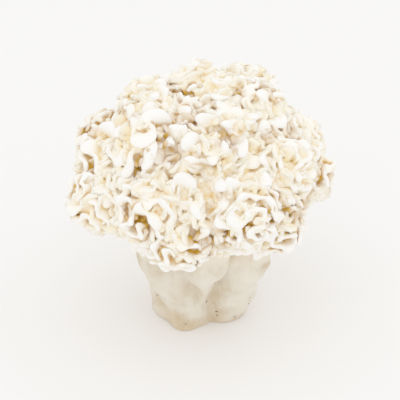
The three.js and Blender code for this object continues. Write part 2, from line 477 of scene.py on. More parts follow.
def ribbonSheet(ribbon, random):
    # the middle surface of one ribbon, from its root to its curled edge, as a grid of points
    rows, step, heading, sideways = (ribbon[k] for k in ("rows", "step", "heading", "sideways"))
    count = rows.shape[1]
    scale = smoothed(lobeScale(rows[-1]), 3)
    turning = (smoothed(np.gradient(heading, step, axis=0), 1.5) * sideways).sum(1)   # 1/mm
    bend = turning * lobe["bendRadius"] * scale
    noise = partial(wander, random, count, step)
    pace = 1 + lobe["paceNoise"] * np.clip(noise(8), -1.5, 1.5)
    swing = np.cumsum(math.pi * step * pace / (lobe["petal"] * scale)) + random.uniform(0, 6.3)
    curl = lobe["snap"] * np.sin(swing) - lobe["bendPull"] * bend + lobe["sideNoise"] * noise(9)
    curl = np.clip(smoothed(np.clip(curl, -1, 1), 1.2 / step), -1, 1)
    toward = smoothed((curl > 0).astype(float), 1.2)
    room = toward * ribbon["room"][0] + (1 - toward) * ribbon["room"][1]
    inside = smoothed(np.maximum(turning * np.sign(curl), 0.02), 2)      # a bend is tight inside
    room = np.minimum(room, lobe["insideShare"] / inside)
    longLip = np.clip(room * lobe["roomShare"], 1.5, 7.5) * (1 + lobe["lipNoise"] * noise(8))
    shortLip = lobe["shortLip"] * scale
    lipLength = np.clip(shortLip + (longLip - shortLip) * np.abs(curl), 1, 8)

    # the lip's own curve, in fine steps
    rolled = np.minimum(lobe["curl"], lipLength / lobe["rollRadius"])
    turned = rolled * curl * np.linspace(0, 1, fineSteps + 1)[:, None] ** 1.5
    rise, shift = (np.concatenate([np.zeros((1, count)), np.cumsum(way(turned[1:]), axis=0)]) / fineSteps
                   for way in (np.cos, np.sin))
    top = rise.max(axis=0) * lipLength
    dip = lobe["notch"] * scale * (1 - np.abs(curl)) ** 1.5 + lobe["dipNoise"] * np.abs(noise(7))
    reach = outline(rows[-1])
    base = smoothed(1 - (top + dip) / reach, 1.2)

    root = lobe["rootShare"]
    upwards = (np.arange(lobe["stemRows"] + 1) / lobe["stemRows"]) ** 0.85
    grid = [pointsAt(rows, root + (base - root) * part) for part in upwards]
    start = grid[-1]
    outward = unit(smoothed(unit(start - grid[-2]), 1.5))
    heading = unit(smoothed(np.gradient(start, axis=0), 1.5))
    sideways = unit(np.cross(heading, outward))
    places = np.arange(count) * step
    fan = -lobe["fan"] * scale * np.cos(swing) * np.abs(np.sin(swing)) * 2
    phase = 2 * math.pi * places / (lobe["frillLength"] * scale) + 1.5 * noise(10)
    wave = lobe["frill"] * scale * np.sin(phase)
    for place in lipPlaces[1:]:
        low = min(int(place * fineSteps), fineSteps - 1)
        mix = place * fineSteps - low
        up = (rise[low] * (1 - mix) + rise[low + 1] * mix) * lipLength
        out = (shift[low] * (1 - mix) + shift[low + 1] * mix) * lipLength + wave * place ** 2
        moves = outward * up[:, None], sideways * out[:, None], heading * (fan * place)[:, None]
        grid.append(start + moves[0] + moves[1] + moves[2])
    grid = np.array(grid)
    rim = np.linalg.norm(np.diff(grid, axis=0), axis=2)
    rim = np.concatenate([np.cumsum(rim[::-1], axis=0)[::-1], np.zeros((1, count))])
    for _ in range(2):
        grid[1:-1] = (grid[:-2] + 2 * grid[1:-1] + grid[2:]) / 4
    for _ in range(3):
        grid[:, 1:-1] = (grid[:, :-2] + 2 * grid[:, 1:-1] + grid[:, 2:]) / 4
    side = np.minimum(places, places[::-1])[None, :] * np.ones_like(rim)
    return grid, rim, side, scale


def halfThickness(rim, side, scale):
    full = lobe["lipThickness"] + (lobe["rootThickness"] - lobe["lipThickness"]) * smoothstep(rim, 2, 14)
    full = full * scale ** 0.5 / 2
    near = np.minimum(np.minimum(rim, side) / full, 1)     # rounded towards every free edge
    return full * np.sqrt(np.clip(1 - (1 - near) ** 2, 0, 1))


def easedThickness(grid, half):
    # thinner where a face would fold through itself on the inner side of a tight bend
    normal = unit(np.cross(np.gradient(grid, axis=1), np.gradient(grid, axis=0)))
    share = np.ones_like(half)
    for _ in range(9):
        tight = np.zeros(half.shape, bool)
        for way in (1, -1):
            face = grid + normal * (way * half * share)[..., None]
            for axis in (0, 1):
                edges = np.diff(grid, axis=axis)
                ahead = (edges * np.diff(face, axis=axis)).sum(2)
                folded = ahead < 0.3 * (edges ** 2).sum(2)
                marked = np.moveaxis(tight, axis, 0)
                folded = np.moveaxis(folded, axis, 0)
                marked[:-1] |= folded
                marked[1:] |= folded
        share = np.where(tight, share * 0.8, share)
    return half * np.minimum(share, smoothed(smoothed(share, 1), 1, axis=1))


def layStrips(sheets):
    # lays the sheets side by side in the upper half of a square map, in rows, and returns the
    # map's side in mm and each sheet's corner in it
    widths = [distances(grid[-3])[-1] + 1.5 for grid, *_ in sheets]
    tall = max(rim[0].max() for _, rim, *_ in sheets) + 1.5
    side = math.sqrt(2 * tall * sum(widths))
    order = np.argsort(widths)[::-1]
    while True:
        side = max(side * 1.03, widths[order[0]])
        rowEnds = [0.0] * int(side / 2 / tall)
        corners = {}
        for i in order:
            row = next((k for k, end in enumerate(rowEnds) if end + widths[i] <= side), None)
            if row is None:
                break
            corners[i] = (rowEnds[row] + 0.7, side / 2 + row * tall + 0.7)
            rowEnds[row] += widths[i]
        if len(corners) == len(sheets):
            return side, corners


def sheetMesh(name, sheets):
    points, quads, depths, halves, places = [], [], [], [], []
    mapSide, corners = layStrips(sheets)
    offset = 0
    for number, (grid, rim, side, scale) in enumerate(sheets):
        half = easedThickness(grid, halfThickness(rim, side, scale[None, :]))
        half[0] = 0
        along = distances(grid[-3])[None, :] + 0 * rim
        place = np.stack([corners[number][0] + along, corners[number][1] + rim], axis=2)
        index = offset + np.arange(rim.size).reshape(rim.shape)
        quad = np.stack([index[:-1, :-1], index[:-1, 1:], index[1:, 1:], index[1:, :-1]], axis=-1)
        points.append((grid + headCentre).reshape(-1, 3))
        quads.append(quad.reshape(-1, 4))
        depths.append((outline(unit(grid)) - np.linalg.norm(grid, axis=2)).ravel())
        halves.append(half.ravel())
        places.append(place.reshape(-1, 2) / mapSide)
        offset += rim.size
    mesh = meshOf(name, np.concatenate(points), np.concatenate(quads).tolist())
    keepOnPoints(mesh, "depth", np.concatenate(depths))       # mm below the head's outline
    keepOnPoints(mesh, "halfThickness", np.concatenate(halves))
    setBakeMap(mesh, np.concatenate(places)[cornerPoints(mesh)])
    return mesh


def newMaterial(name):
    material = bpy.data.materials.new(name)
    material.use_nodes = True
    material.node_tree.nodes.clear()
    return material, partial(addNode, material.node_tree)


def colourRamp(node, stops):
    elements = node.color_ramp.elements
    for k, (position, colour) in enumerate(stops):
        element = elements[k] if k < 2 else elements.new(position)
        element.position = position
        element.color = linear(colour)


def fleshSurface(add, colour, grain, finish):
    # its grain stands up a little and scatters the light
    low, high = finish["roughness"]
    rough = add("ShaderNodeMapRange", {"To Min": low, "To Max": high, "Value": grain})
    bump = add("ShaderNodeBump", {
        "Strength": finish["bump"], "Distance": finish["grainHeight"], "Height": grain})
    surface = add("ShaderNodeBsdfPrincipled", {
        "IOR": 1.4, "Base Color": colour, "Roughness": rough, "Normal": bump})
    add("ShaderNodeOutputMaterial", {"Surface": surface})


# Fresh lobes: crisp, slightly waxy fungus flesh with a soft satin finish, nearly white in its own colour.
# Down between the lobes the colour falls to cream and golden yellow with depth, which is painted shade in
# the gaps, and there a few aged patches are browned.
lobeFlesh = {
    # the first colour is the flesh's own; the fall to golden brown further down is painted shade between
    # the lobes
    "colours": [(0.0, "#FEFBF5"), (0.13, "#FEF8E8"), (0.26, "#FDF0CF"), (0.42, "#F8DB90"),
                (0.65, "#E7B34A"), (1.0, "#B87F27")],
    "deepest": 14.0,          # mm below the outline, where the last colour, the darkest painted shade, is reached
    "blotchSize": 7,          # mm, over which the depth of a colour wanders
    "blotchDepth": 3.6,       # mm that it wanders
    "patchSize": 13,          # mm, of an aged patch
    "patchEdge": (0.54, 0.6),
    "patchDepth": (1.5, 4.2),     # mm below the outline
    "patchColour": "#C0850E",
    "grainSize": 0.9,         # mm
    "grainHeight": 0.0002,    # m
    "bump": 0.25,
    "roughness": (0.42, 0.62),
}


def freshLobes():
    material, add = newMaterial("freshLobeFlesh")
    place = add("ShaderNodeTexCoord", {}).outputs["Object"]
    depth = add("ShaderNodeAttribute", {"attribute_name": "depth"})
    blotch = add("ShaderNodeTexNoise", {
        "Scale": metre / lobeFlesh["blotchSize"], "Detail": 3.0, "Vector": place})
    shifted = add("ShaderNodeMath", {
        "operation": "MULTIPLY_ADD", 0: blotch, 1: lobeFlesh["blotchDepth"],
        2: -lobeFlesh["blotchDepth"] / 2})
    sunk = add("ShaderNodeMath", {"operation": "ADD", 0: depth.outputs["Fac"], 1: shifted})
    # the deeper below the outline, the darker and more golden: painted shade between the lobes
    share = add("ShaderNodeMapRange", {"From Max": lobeFlesh["deepest"], "Value": sunk})
    ramp = add("ShaderNodeValToRGB", {"Fac": share})
    colourRamp(ramp, lobeFlesh["colours"])
    patches = add("ShaderNodeTexNoise", {
        "Scale": metre / lobeFlesh["patchSize"], "Detail": 2.0, "Vector": place})
    start, stop = lobeFlesh["patchEdge"]
    aged = add("ShaderNodeMapRange", {"From Min": start, "From Max": stop, "Value": patches})
    start, stop = lobeFlesh["patchDepth"]
    below = add("ShaderNodeMapRange", {"From Min": start, "From Max": stop, "Value": sunk})
    browned = add("ShaderNodeMath", {"operation": "MULTIPLY", 0: aged, 1: below})
    colour = add("ShaderNodeMix", {
        "data_type": "RGBA", 0: browned, 6: ramp, 7: linear(lobeFlesh["patchColour"])})
    grain = add("ShaderNodeTexNoise", {
        "Scale": metre / lobeFlesh["grainSize"], "Detail": 4.0, "Vector": place})
    fleshSurface(add, colour.outputs[2], grain, lobeFlesh)
    return material


# The stem's skin: matt, dry and wrinkled lengthwise, greyish cream, tan in its folds. The cut
# face shows the stringy flesh inside, a little browned.
stemFinish = {
    "colours": [(0.12, "#A88456"), (0.34, "#C8B38E"), (0.5, "#D5C7AC"), (0.72, "#E1D7C2")],
    "blotchSize": 8,          # mm
    "reliefRange": (-0.0011, 0.0009),     # m, from the hollows to the ridges
    "reliefShift": 0.17,      # how far hollows shift towards tan and ridges towards cream
    "raggedness": 0.012,      # m that the two borders below run up and down
    "freshColour": "#F3E4C8",     # up in the head
    "freshRange": (0.031, 0.043),     # m
    "cutBrown": "#B89665",    # down towards the cut
    "brownRange": (0.0145, 0.0045),
    "mostBrown": 0.65,
    "strandColours": [(0.35, "#B9935F"), (0.65, "#E6D2A9")],
    "strandSize": 1.6,        # mm
    "grainSize": 1.1,         # mm across the stem, of the finest wrinkles
    "grainStretch": (1, 1, 0.3),      # they run up the stem
    "grainHeight": 0.0005,    # m
    "bump": 0.6,
    "roughness": (0.55, 0.78),
}


def stemSkin():
    material, add = newMaterial("wrinkledStemSkin")
    place = add("ShaderNodeTexCoord", {}).outputs["Object"]
    blotch = add("ShaderNodeTexNoise", {
        "Scale": metre / stemFinish["blotchSize"], "Detail": 5.0, "Roughness": 0.6, "Vector": place})
    relief = add("ShaderNodeAttribute", {"attribute_name": "relief"})
    low, high = stemFinish["reliefRange"]
    shift = stemFinish["reliefShift"]
    raised = add("ShaderNodeMapRange", {
        "From Min": low, "From Max": high, "To Min": -shift, "To Max": shift,
        "Value": relief.outputs["Fac"]})
    mixed = add("ShaderNodeMath", {"operation": "ADD", 0: blotch, 1: raised})
    ramp = add("ShaderNodeValToRGB", {"Fac": mixed})
    colourRamp(ramp, stemFinish["colours"])
    height = add("ShaderNodeSeparateXYZ", {"Vector": place})
    ragged = add("ShaderNodeMath", {
        "operation": "MULTIPLY_ADD", 0: blotch, 1: stemFinish["raggedness"], 2: height.outputs["Z"]})
    start, stop = stemFinish["freshRange"]
    inside = add("ShaderNodeMapRange", {"From Min": start, "From Max": stop, "Value": ragged})
    fresh = add("ShaderNodeMix", {
        "data_type": "RGBA", 0: inside, 6: ramp, 7: linear(stemFinish["freshColour"])})
    start, stop = stemFinish["brownRange"]
    low = add("ShaderNodeMapRange", {
        "From Min": start, "From Max": stop, "To Max": stemFinish["mostBrown"], "Value": ragged})
    browned = add("ShaderNodeMix", {
        "data_type": "RGBA", 0: low, 6: fresh.outputs[2], 7: linear(stemFinish["cutBrown"])})
    cut = add("ShaderNodeAttribute", {"attribute_name": "cut"})
    strands = add("ShaderNodeTexNoise", {
        "Scale": metre / stemFinish["strandSize"], "Detail": 4.0, "Vector": place})
    stringy = add("ShaderNodeValToRGB", {"Fac": strands})
    colourRamp(stringy, stemFinish["strandColours"])
    colour = add("ShaderNodeMix", {
        "data_type": "RGBA", 0: cut.outputs["Fac"], 6: browned.outputs[2], 7: stringy})
    stretched = add("ShaderNodeMapping", {"Scale": stemFinish["grainStretch"], "Vector": place})
    wrinkles = add("ShaderNodeTexNoise", {
        "Scale": metre / stemFinish["grainSize"], "Detail": 6.0, "Vector": stretched})
    fleshSurface(add, colour.outputs[2], wrinkles, stemFinish)
    return material


# Crumbs of forest soil and bark: dry, matt and dark brown, no two quite alike.
soilFinish = {
    "colours": [(0.35, "#3A2A1B"), (0.65, "#7C6142")],
    "mottleSize": 2.5,        # mm
    "roughness": 0.85,
}


def soilCrumbs():
    material, add = newMaterial("drySoilCrumbs")
    place = add("ShaderNodeTexCoord", {}).outputs["Object"]
    mottle = add("ShaderNodeTexNoise", {
        "Scale": metre / soilFinish["mottleSize"], "Detail": 3.0, "Vector": place})
    ramp = add("ShaderNodeValToRGB", {"Fac": mottle})
    colourRamp(ramp, soilFinish["colours"])
    crumbs = add("ShaderNodeBsdfPrincipled", {"Roughness": soilFinish["roughness"], "Base Color": ramp})
    add("ShaderNodeOutputMaterial", {"Surface": crumbs})
    return material


lobeMaterial = freshLobes()
stemMaterial = stemSkin()
soilMaterial = soilCrumbs()


def newTree(name, inputs):
    # a Geometry Nodes tree with named inputs, what adds its nodes, and the sockets of its inputs
    tree = bpy.data.node_groups.new(name, "GeometryNodeTree")
    tree.interface.new_socket("Geometry", in_out="INPUT", socket_type="NodeSocketGeometry")
    kinds = {float: "NodeSocketFloat", int: "NodeSocketInt", type(None): "NodeSocketObject"}
    for label, value in inputs.items():
        socket = tree.interface.new_socket(label, in_out="INPUT", socket_type=kinds[type(value)])
        if value is not None:
            socket.default_value = value
    tree.interface.new_socket("Material", in_out="INPUT", socket_type="NodeSocketMaterial")
    tree.interface.new_socket("Geometry", in_out="OUTPUT", socket_type="NodeSocketGeometry")
    add = partial(addNode, tree)
    return tree, add, add("NodeGroupInput", {}).outputs


def finishTree(add, geometry, material):
    shaded = add("GeometryNodeSetShadeSmooth", {"Geometry": geometry})
    real = add("GeometryNodeRealizeInstances", {"Geometry": shaded})
    coloured = add("GeometryNodeSetMaterial", {"Geometry": real, "Material": material})
    add("NodeGroupOutput", {"Geometry": coloured})


def moveOut(add, geometry, distance):
    # moves a surface along its own normals
    normal = add("GeometryNodeInputNormal", {})
    shift = add("ShaderNodeVectorMath", {"operation": "SCALE", 0: normal, "Scale": distance})
    return add("GeometryNodeSetPosition", {"Geometry": geometry, "Offset": shift})


def addDepth(add, geometry, extra):
    # adds to the depth in mm that the colour of a point follows, and so to the painted shade that it takes
    own = add("GeometryNodeInputNamedAttribute", {"Name": "depth"})
    total = add("ShaderNodeMath", {"operation": "ADD", 0: own, 1: extra})
    return add("GeometryNodeStoreNamedAttribute", {"Name": "depth", "Geometry": geometry, "Value": total})


def unevenness(add, size, height, noiseValues):
    # heights about zero, from waves of the given size
    scale = add("ShaderNodeMath", {"operation": "DIVIDE", 0: 1.0, 1: size})
    noise = add("ShaderNodeTexNoise", {"Scale": scale, **noiseValues})
    centred = add("ShaderNodeMath", {"operation": "SUBTRACT", 0: noise, 1: 0.5})
    return add("ShaderNodeMath", {"operation": "MULTIPLY", 0: centred, 1: height})


def thickenTree():
    # gives the ribbons' sheets their body
    tree, add, given = newTree("thicken lobes", {
        "Relief height": lobe["undulation"], "Relief size": lobe["undulationSize"],
        "Cover shade reach": lobe["coverShadeReach"], "Cover shade depth": lobe["coverShadeDepth"]})
    # the whole sheet undulates a little first, so that both faces stay parallel
    waves = unevenness(add, given["Relief size"], given["Relief height"], {"Detail": 1.5})
    waved = moveOut(add, given["Geometry"], waves)
    half = add("GeometryNodeInputNamedAttribute", {"Name": "halfThickness"})
    offsets = [add("ShaderNodeMath", {"operation": "MULTIPLY", 0: half, 1: side * mm}) for side in (1, -1)]
    front, back = (moveOut(add, waved, offset) for offset in offsets)
    back = add("GeometryNodeFlipFaces", {"Mesh": back})
    # the back is baked in the lower half of the map
    upper = add("GeometryNodeInputNamedAttribute", {"data_type": "FLOAT_VECTOR", "Name": "OFBake"})
    lower = add("ShaderNodeVectorMath", {"operation": "SUBTRACT", 0: upper, 1: (0.0, 0.5, 0.0)})
    back = add("GeometryNodeStoreNamedAttribute", {
        "data_type": "FLOAT2", "domain": "CORNER", "Name": "OFBake", "Geometry": back, "Value": lower})
    joined = add("GeometryNodeJoinGeometry", {"Geometry": [front, back]})
    welded = add("GeometryNodeMergeByDistance", {"Distance": 1e-7, "Geometry": joined})
    # flesh that lies close under another lobe counts as deeper, so that the depth colours paint shade on it
    # there: three rays from just off the surface feel for the lobe above
    place = add("GeometryNodeInputPosition", {})
    normal = add("GeometryNodeInputNormal", {})
    start = add("ShaderNodeVectorMath", {
        "operation": "MULTIPLY_ADD", 0: normal, 1: [lobe["coverShadeStart"]] * 3, 2: place})
    fromCentre = add("ShaderNodeVectorMath", {"operation": "SUBTRACT", 0: place, 1: tuple(headCentre * mm)})
    outwards = add("ShaderNodeVectorMath", {"operation": "NORMALIZE", 0: fromCentre})
    between = add("ShaderNodeVectorMath", {"operation": "ADD", 0: normal, 1: outwards})
    coverShade = 0.0
    for way in (normal, between, outwards):
        ray = add("GeometryNodeRaycast", {
            "Target Geometry": welded, "Source Position": start, "Ray Direction": way,
            "Ray Length": given["Cover shade reach"]})
        near = add("ShaderNodeMapRange", {
            "To Min": 1.0, "To Max": 0.0, "Value": ray.outputs["Hit Distance"],
            "From Max": given["Cover shade reach"]})
        coverShade = add("ShaderNodeMath", {
            "operation": "MULTIPLY_ADD", 0: near, 1: ray.outputs["Is Hit"], 2: coverShade})
    soft = add("GeometryNodeBlurAttribute", {"Iterations": 3, "Value": coverShade})
    extra = add("ShaderNodeMath", {"operation": "MULTIPLY", 0: soft, 1: given["Cover shade depth"]})
    finishTree(add, addDepth(add, welded, extra), given["Material"])
    return tree


def applyTree(name, mesh, tree, values):
    # runs a tree on a mesh and returns the result as a plain object
    carrier = addObject(name + "Source", mesh)
    modifier = carrier.modifiers.new("nodes", "NODES")
    modifier.node_group = tree
    for item in tree.interface.items_tree:
        if item.in_out == "INPUT" and item.name in values:
            modifier[item.identifier] = values[item.name]
    evaluated = carrier.evaluated_get(bpy.context.evaluated_depsgraph_get())
    result = bpy.data.meshes.new_from_object(evaluated)
    result.materials.clear()              # joining leaves an empty slot in front
    result.materials.append(values["Material"])
    result.polygons.foreach_set("material_index", np.zeros(len(result.polygons), np.int32))
    carrier.modifiers.remove(modifier)
    bpy.data.objects.remove(carrier)
    return addObject(name, result)


thicken = thickenTree()
lobeRandom = np.random.RandomState(lobe["seed"])
ribbons = [ribbonEdge(number) for number in range(saved[-1][3].max() + 1)]
measureRoom(ribbons)
sheets = [ribbonSheet(ribbon, lobeRandom) for ribbon in ribbons]
print(len(sheets), "ribbons,", sum(sheet[0].shape[1] for sheet in sheets), "columns")
order = np.argsort([math.atan2(*(sheet[0][-1].mean(0)[[1, 0]])) for sheet in sheets])
columnsSoFar = np.cumsum([sheets[i][0].shape[1] for i in order])
clusterOf = np.ceil(columnsSoFar / columnsSoFar[-1] * lobe["clusters"]).astype(int)
pieces = []
for number in range(1, lobe["clusters"] + 1):
    name = f"lobe_cluster_{number}"
    mesh = sheetMesh(name, [sheets[i] for i in order[clusterOf == number]])
    piece = applyTree(name, mesh, thicken, {"Material": lobeMaterial})
    pieces.append(piece)
    print(name, len(piece.data.polygons), "faces")


# The flesh that shows in the gaps between the lobes.
filling = {
    "share": 0.925,           # of the outline
    "tuckedIn": 0.36,         # how much less of it round the lower fringe
    "lumpSize": 0.0032,       # m
    "lumpHeight": 0.0026,
    "holeSize": 0.007,
    "holeDepth": 0.009,
    "holeStart": 0.56,        # the higher, the fewer holes
    "holeSlope": 0.15,
}


def fillingMesh():
    builder = bmesh.new()
    bmesh.ops.create_icosphere(builder, subdivisions=7, radius=1)
    directions = unit(np.array([v.co[:] for v in builder.verts]))
    below = np.arccos(directions[:, 2]) - lowestPolar(directions)
    share = filling["share"] - filling["tuckedIn"] * smoothstep(below, -0.35, 0.05)
    for vertex, point in zip(builder.verts, directions * (share * outline(directions))[:, None]):
        vertex.co = (point + headCentre) * mm
    mesh = bpy.data.meshes.new("inner_flesh")
    builder.to_mesh(mesh)
    builder.free()
    # its depth below the outline, which the depth colours turn into golden painted shade
    keepOnPoints(mesh, "depth", (1 - share) * outline(directions))
    return mesh


def fillingTree():
    tree, add, given = newTree("lumps and holes", {
        "Lump size": filling["lumpSize"], "Lump height": filling["lumpHeight"],
        "Hole size": filling["holeSize"], "Hole depth": filling["holeDepth"],
        "Hole start": filling["holeStart"]})
    lumpScale = add("ShaderNodeMath", {"operation": "DIVIDE", 0: 1.0, 1: given["Lump size"]})
    lumps = add("ShaderNodeTexVoronoi", {"feature": "SMOOTH_F1", "Smoothness": 0.25, "Scale": lumpScale})
    rounded = add("ShaderNodeMath", {"operation": "POWER", 0: lumps.outputs["Distance"], 1: 2.0})
    sunk = add("ShaderNodeMath", {"operation": "MULTIPLY", 0: rounded, 1: given["Lump height"]})
    holeScale = add("ShaderNodeMath", {"operation": "DIVIDE", 0: 1.0, 1: given["Hole size"]})
    patches = add("ShaderNodeTexNoise", {"Detail": 1.0, "Scale": holeScale})
    stop = add("ShaderNodeMath", {"operation": "ADD", 0: given["Hole start"], 1: filling["holeSlope"]})
    holes = add("ShaderNodeMapRange", {
        "interpolation_type": "SMOOTHSTEP", "Value": patches, "From Min": given["Hole start"],
        "From Max": stop, "To Max": given["Hole depth"]})
    total = add("ShaderNodeMath", {"operation": "ADD", 0: sunk, 1: holes})
    # the lumps' hollows and the holes count as deeper too, so they take darker painted shade
    inMillimetres = add("ShaderNodeMath", {"operation": "MULTIPLY", 0: total, 1: float(metre)})
    inward = add("ShaderNodeMath", {"operation": "MULTIPLY", 0: total, 1: -1.0})
    kept = addDepth(add, given["Geometry"], inMillimetres)
    finishTree(add, moveOut(add, kept, inward), given["Material"])
    return tree


flesh = applyTree("inner_flesh", fillingMesh(), fillingTree(), {"Material": lobeMaterial})
pieces.append(flesh)
print("inner flesh", len(flesh.data.polygons), "faces")

# The young lobes that stand on it.
youngLobe = {
    "height": 4.4,            # mm
    "footWidth": 2.0,
    "edgeWidth": 5.2,
    "thickness": 1.2,
    "roll": 2.3,              # radians that its edge rolls over
    "sunk": 0.8,              # mm of its foot inside the flesh
    "paintedShadeDepth": 1.0,            # mm that it counts as deeper than it is, which paints golden shade on it
    "spacing": 0.0024,        # m between two of them
    "tilt": 0.35,             # radians, either way
    "deepestGround": 9.0,     # mm below the outline, where none grow further down
    "hollow": 3.8,            # mm below the outline, where its ground begins to be a hollow
    "hollowShadeDepth": 5.0,       # mm that it counts as deeper in the deepest hollow, as painted shade
    "smallest": 0.7,
    "largest": 1.25,
    "phases": (0.3, 1.6, 2.9),    # of the roll along the edge, one for each of the three shapes
    "seed": 4,
}


def youngLobeMesh(phase):
    # a small fan that rolls to one side at one end and to the other side at the other end
    columns, rows = 7, 6
    # closer together towards the rounded rim
    u, v = np.meshgrid(np.sin(np.linspace(-math.pi / 2, math.pi / 2, columns)),
                       np.sin(np.linspace(0, math.pi / 2, rows)))
    side = np.sin(2.0 * u + phase)
    turned = youngLobe["roll"] * side[..., None] * np.linspace(0, 1, fineSteps + 1) ** 1.5
    step = youngLobe["height"] / fineSteps
    at = np.round(v * (1 - 0.25 * u * u) * fineSteps).astype(int)[..., None]
    rise = np.take_along_axis(np.cumsum(np.cos(turned), axis=2) * step, at, 2)[..., 0]
    shift = np.take_along_axis(np.cumsum(np.sin(turned), axis=2) * step, at, 2)[..., 0]
    foot, edge = youngLobe["footWidth"], youngLobe["edgeWidth"]
    halfWidth = (foot + (edge - foot) * v ** 0.8) / 2
    middle = np.stack([u * halfWidth, shift, rise - youngLobe["sunk"]], axis=2)
    normal = unit(np.cross(np.gradient(middle, axis=1), np.gradient(middle, axis=0)))
    half = np.zeros((rows, columns, 1))
    half[:-1, 1:-1] = youngLobe["thickness"] / 2
    points = np.concatenate([middle + normal * half, middle - normal * half]).reshape(-1, 3)
    front = np.arange(rows * columns).reshape(rows, columns)
    back = np.where(half[..., 0] > 0, front + rows * columns, front)      # both faces share the free edge
    faces, places = [], []
    for index, left in ((front, 0.04), (back, 0.54)):
        for row in range(rows - 1):
            for column in range(columns - 1):
                ring = [(row, column), (row, column + 1), (row + 1, column + 1), (row + 1, column)]
                faces.append([int(index[c]) for c in ring])
                places += [(left + 0.42 * c / (columns - 1), 0.08 + 0.88 * r / (rows - 1)) for r, c in ring]
    ring = [*front[0], *back[0, -2:0:-1]]
    faces.append([int(i) for i in ring])
    places += [(0.04 + 0.9 * k / len(ring), 0.02 + 0.03 * (k % 2)) for k in range(len(ring))]
    mesh = meshOf("youngLobe", points, faces)
    setBakeMap(mesh, np.array(places))
    # its depth colours darken towards its foot, painted shade down in the gap
    keepOnPoints(mesh, "depth", youngLobe["height"] + youngLobe["paintedShadeDepth"] - points[:, 2])
    facesOutward(mesh)
    return mesh


def scatterTree():
    # stands three shapes on a surface where its attribute depth is small
    shapeNames = ("Shape A", "Shape B", "Shape C")
    tree, add, given = newTree("scatter shapes", {
        "Spacing": youngLobe["spacing"], "Smallest": youngLobe["smallest"], "Largest": youngLobe["largest"],
        "Seed": youngLobe["seed"], **{label: None for label in shapeNames}})
    ground = add("GeometryNodeInputNamedAttribute", {"Name": "depth"})
    shallow = add("FunctionNodeCompare", {
        "operation": "LESS_THAN", "A": ground, "B": youngLobe["deepestGround"]})
    places = add("GeometryNodeDistributePointsOnFaces", {
        "distribute_method": "POISSON", "Density Max": 400000.0, "Mesh": given["Geometry"],
        "Selection": shallow, "Distance Min": given["Spacing"], "Seed": given["Seed"]})
    standing = add("GeometryNodeStoreNamedAttribute", {
        "Name": "ground", "Geometry": places, "Value": ground})
    shapes = [add("GeometryNodeObjectInfo", {"As Instance": True, "Object": given[label]})
              for label in shapeNames]
    kinds = add("GeometryNodeJoinGeometry", {"Geometry": [shape.outputs["Geometry"] for shape in shapes]})
    size = add("FunctionNodeRandomValue", {
        2: given["Smallest"], 3: given["Largest"], "Seed": given["Seed"]})
    which = add("FunctionNodeRandomValue", {"data_type": "INT", 4: 0, 5: 2, "Seed": given["Seed"]})
    placed = add("GeometryNodeInstanceOnPoints", {
        "Pick Instance": True, "Points": standing, "Instance": kinds, "Instance Index": which.outputs[2],
        "Rotation": places.outputs["Rotation"], "Scale": size.outputs[1]})
    tilt = youngLobe["tilt"]
    spin = add("FunctionNodeRandomValue", {
        "data_type": "FLOAT_VECTOR", 0: (-tilt, -tilt, 0.0), 1: (tilt, tilt, 2 * math.pi),
        "Seed": given["Seed"]})
    turned = add("GeometryNodeRotateInstances", {"Instances": placed, "Rotation": spin})
    real = add("GeometryNodeRealizeInstances", {"Geometry": turned})
    # a shape in a hollow counts as deep as its ground, which paints its ground's shade on it
    under = add("GeometryNodeInputNamedAttribute", {"Name": "ground"})
    extra = add("ShaderNodeMapRange", {
        "From Min": youngLobe["hollow"], "From Max": youngLobe["deepestGround"],
        "To Max": youngLobe["hollowShadeDepth"], "Value": under})
    finishTree(add, addDepth(add, real, extra), given["Material"])
    return tree


def layCells(mesh, cornerCount):
    # every scattered shape gets a cell of its own in the map
    places = np.empty(len(mesh.loops) * 2, np.float32)
    mesh.uv_layers["OFBake"].uv.foreach_get("vector", places)
    places = places.reshape(-1, cornerCount, 2)
    number = np.arange(len(places))
    across = math.ceil(math.sqrt(len(places)))
    cell = np.stack([number % across, number // across], axis=1)[:, None, :]
    setBakeMap(mesh, (places + cell) / across)


def scattered(name, ground, shapes, material, values):
    # the shapes are three meshes with as many corners each, the ground has the attribute depth
    sources = [bpy.data.objects.new(name + "Shape", shape) for shape in shapes]
    piece = applyTree(name, ground, scatter, {"Shape A": sources[0], "Shape B": sources[1],
                                              "Shape C": sources[2], "Material": material, **values})
    corners = len(shapes[0].loops)
    layCells(piece.data, corners)
    for source in sources:
        bpy.data.objects.remove(source)
    print(name, len(piece.data.loops) // corners, "shapes,", len(piece.data.polygons), "faces")
    return piece


scatter = scatterTree()
youngShapes = [youngLobeMesh(phase) for phase in youngLobe["phases"]]
pieces.append(scattered("young_lobes", flesh.data.copy(), youngShapes, lobeMaterial, {}))


stem = {
    "footRadius": 13.2,       # mm, at the cut face
    "throatRadius": 24.0,     # where it meets the head's lower fringe
    "topRadius": 29.0,        # inside the head
    "height": 47.0,
    "lean": 1.6,
    "around": 260,            # columns and rows of its mesh
    "rows": 112,
    "cutRows": 12,            # rings across the cut face
    "cutEdge": 0.7,           # mm, the radius of its rounded edge
    "footRagged": 0.07,       # share of the radius, folds at the cut face
    "creases": 10,            # between the main branches
    "creaseWidth": 2.3,
    "creaseDepth": 6.5,       # at the top, they fade out downwards
    "knobs": 16,              # lobes that never grew out
    "wrinkleSize": 0.0022,    # m, across the stem
    "wrinkleHeight": 0.0016,
    "wrinkleStretch": (1.0, 1.0, 0.3),    # they run up the stem
    "swellSize": 0.0125,
    "swellHeight": 0.0062,
    "flatFoot": 0.0025,       # m over which both fade in, so that the cut face stays flat
    "seed": 21,
}


